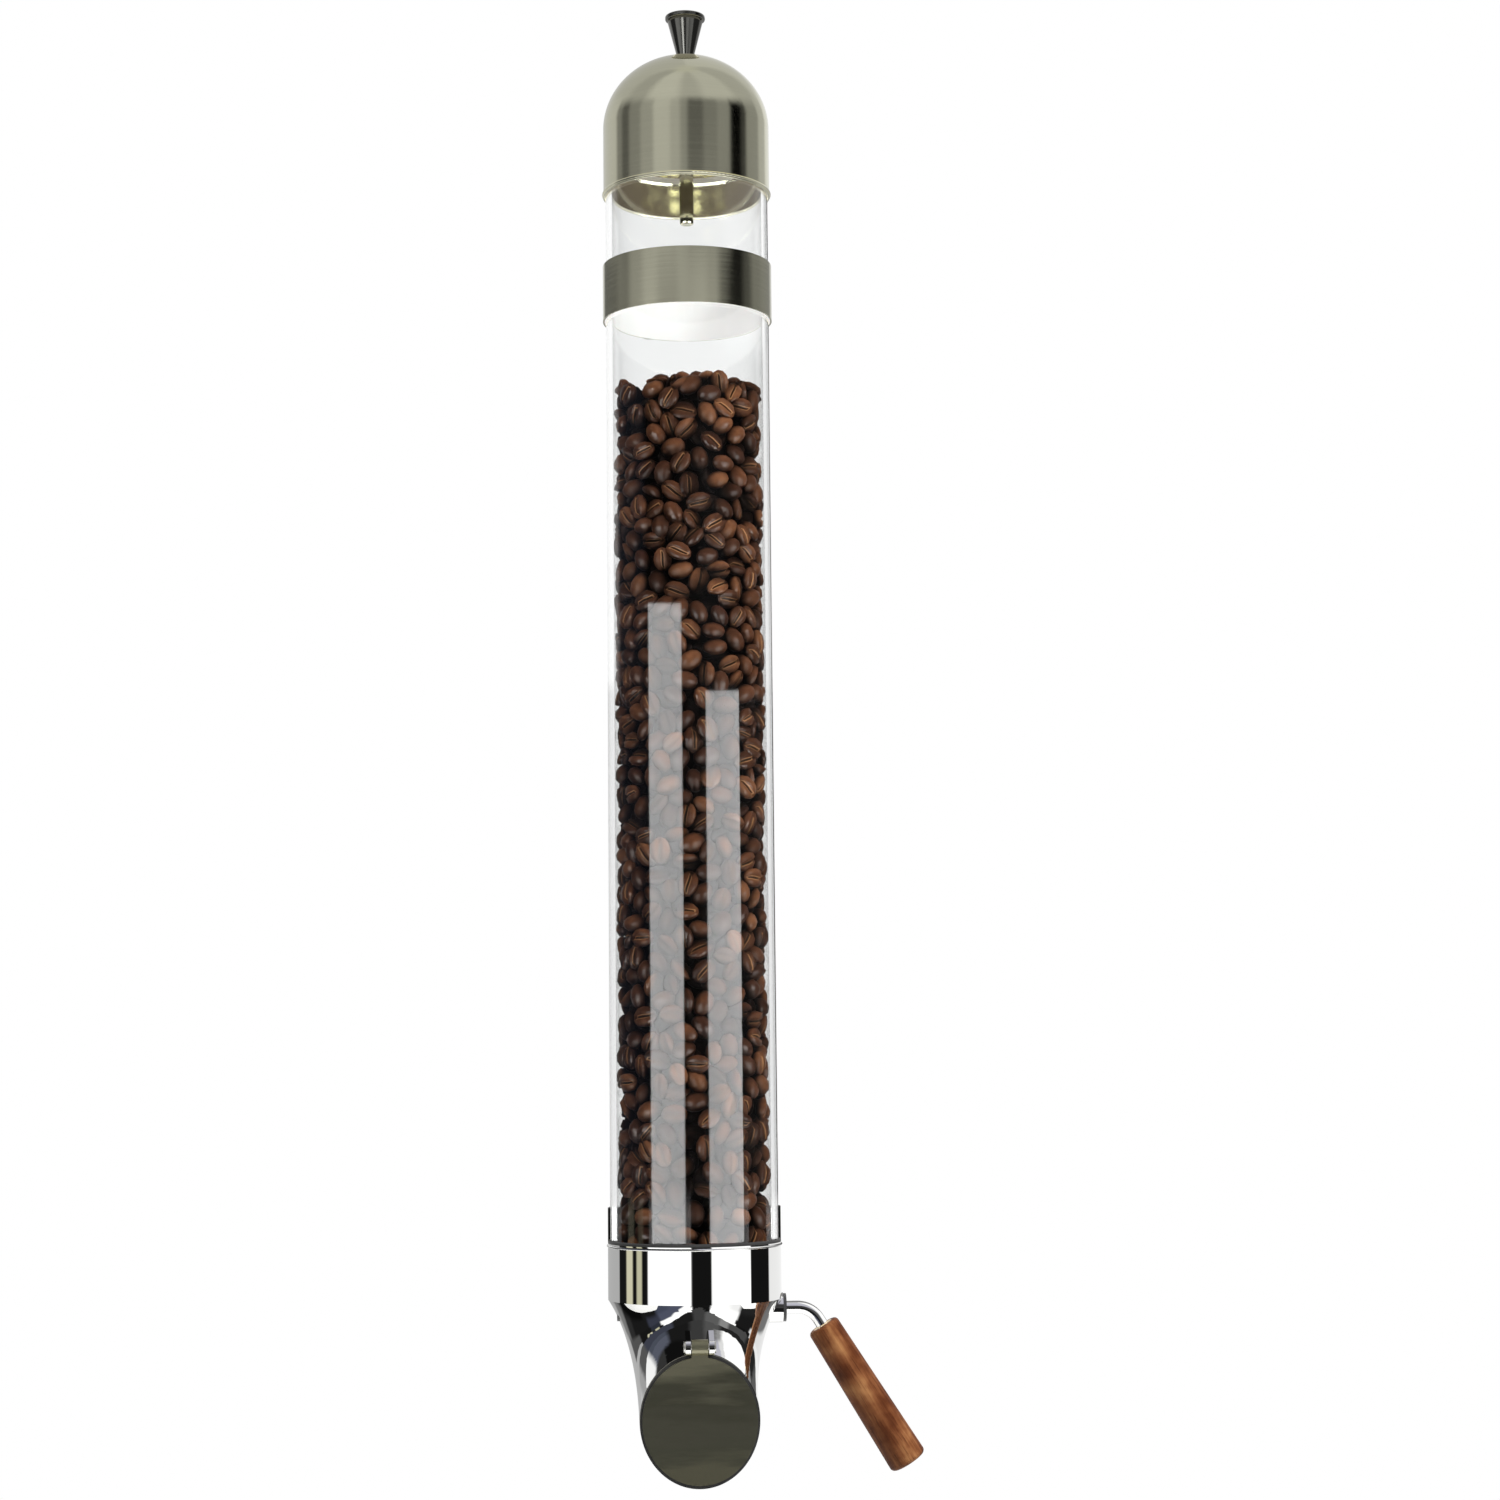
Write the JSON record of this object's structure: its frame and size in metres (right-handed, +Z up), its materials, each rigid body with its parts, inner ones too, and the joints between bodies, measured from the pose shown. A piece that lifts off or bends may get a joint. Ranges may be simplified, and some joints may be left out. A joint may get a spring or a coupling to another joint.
{
  "type": "wall-mounted bean dispenser",
  "caption": "Wall-mounted clear tube for coffee beans with a lift-off domed lid, a curved metal outlet and a side lever that opens its flap.",
  "frame": {"origin": "centre of the lower wall plate's screw holes, on the wall", "axes": "+Z up along the tube, +Y into the wall, the front and the flap face -Y, the lever stands out to +X"},
  "size_m": [0.127, 0.1002, 0.604],
  "materials": {
    "polished_metal": "mirror-polished stainless steel",
    "brushed_metal": "fine brushed nickel",
    "flap_metal": "dark brushed metal",
    "knob_metal": "dark polished metal",
    "plain_steel": "plain machined steel",
    "plate_steel": "satin coated steel plate",
    "clear_glass": "clear glass",
    "clear_silicone": "translucent silicone",
    "black_rubber": "black rubber",
    "bush_plastic": "black nylon",
    "bean_brown": "roasted coffee beans",
    "grip_wood": "oiled reddish-brown wood",
    "brass": "plain brass"
  },
  "bodies": {
    "frame": {"outlet_body": "polished_metal", "glass_tube": "clear_glass", "tube_seat_gasket": "clear_silicone", "bean_fill": "bean_brown", "collar_set_screws": "plain_steel", "lower_wall_plate": "plate_steel", "lower_standoff": "plain_steel", "lower_bracket_screw": "plain_steel", "shaft_bush_right": "bush_plastic", "shaft_bush_left": "bush_plastic", "mouth_seal": "black_rubber", "flap_hinge_pin": "plain_steel", "return_spring": "plain_steel", "clamp_band": "brushed_metal", "clamp_liner": "clear_silicone", "clamp_screw": "plain_steel", "clamp_nut": "plain_steel", "upper_standoff": "plain_steel", "upper_wall_plate": "plate_steel", "upper_bracket_screw": "plain_steel"},
    "lever": {"lever_rod": "polished_metal", "wood_grip": "grip_wood", "grip_insert": "brass", "crank_arm": "plain_steel", "crank_screw": "plain_steel", "crank_pin": "plain_steel", "crank_pin_clip": "plain_steel"},
    "link": {"drive_link": "plain_steel"},
    "flap": {"flap_plate": "flap_metal", "flap_lug": "plain_steel", "flap_rivets": "plain_steel", "flap_pin": "plain_steel", "flap_pin_clip": "plain_steel"},
    "lid": {"lid_dome": "brushed_metal", "lid_gasket": "clear_silicone", "lid_seat_ring": "brushed_metal", "lid_knob": "knob_metal", "lid_stem": "brushed_metal", "lid_nut": "plain_steel", "lid_washer": "plain_steel"}
  },
  "joints": [
    {"name": "lever_hinge", "type": "hinge", "parent": "frame", "child": "lever", "pos_m": [0, -0.056, -0.0175], "axis": [-1, 0, 0], "range_deg": [0, 45], "stiffness_Nm_per_rad": 0.06, "springref_deg": -20.05, "deforming": ["return_spring"]},
    {"name": "flap_hinge", "type": "hinge", "parent": "frame", "child": "flap", "pos_m": [0, -0.0972, -0.0287], "axis": [-1, 0, 0], "range_deg": [0, 45]},
    {"name": "link_hinge", "type": "hinge", "parent": "lever", "child": "link", "pos_m": [0, -0.049, -0.02962], "axis": [1, 0, 0], "range_deg": [0, 45]},
    {"name": "lid_lift", "type": "slide", "parent": "frame", "child": "lid", "axis": [0, 0, 1], "range_m": [0, 0.12]}
  ],
  "couplings": [
    {"joint": "flap_hinge", "follows": "lever_hinge", "ratio": 1},
    {"joint": "link_hinge", "follows": "lever_hinge", "ratio": 1}
  ]
}
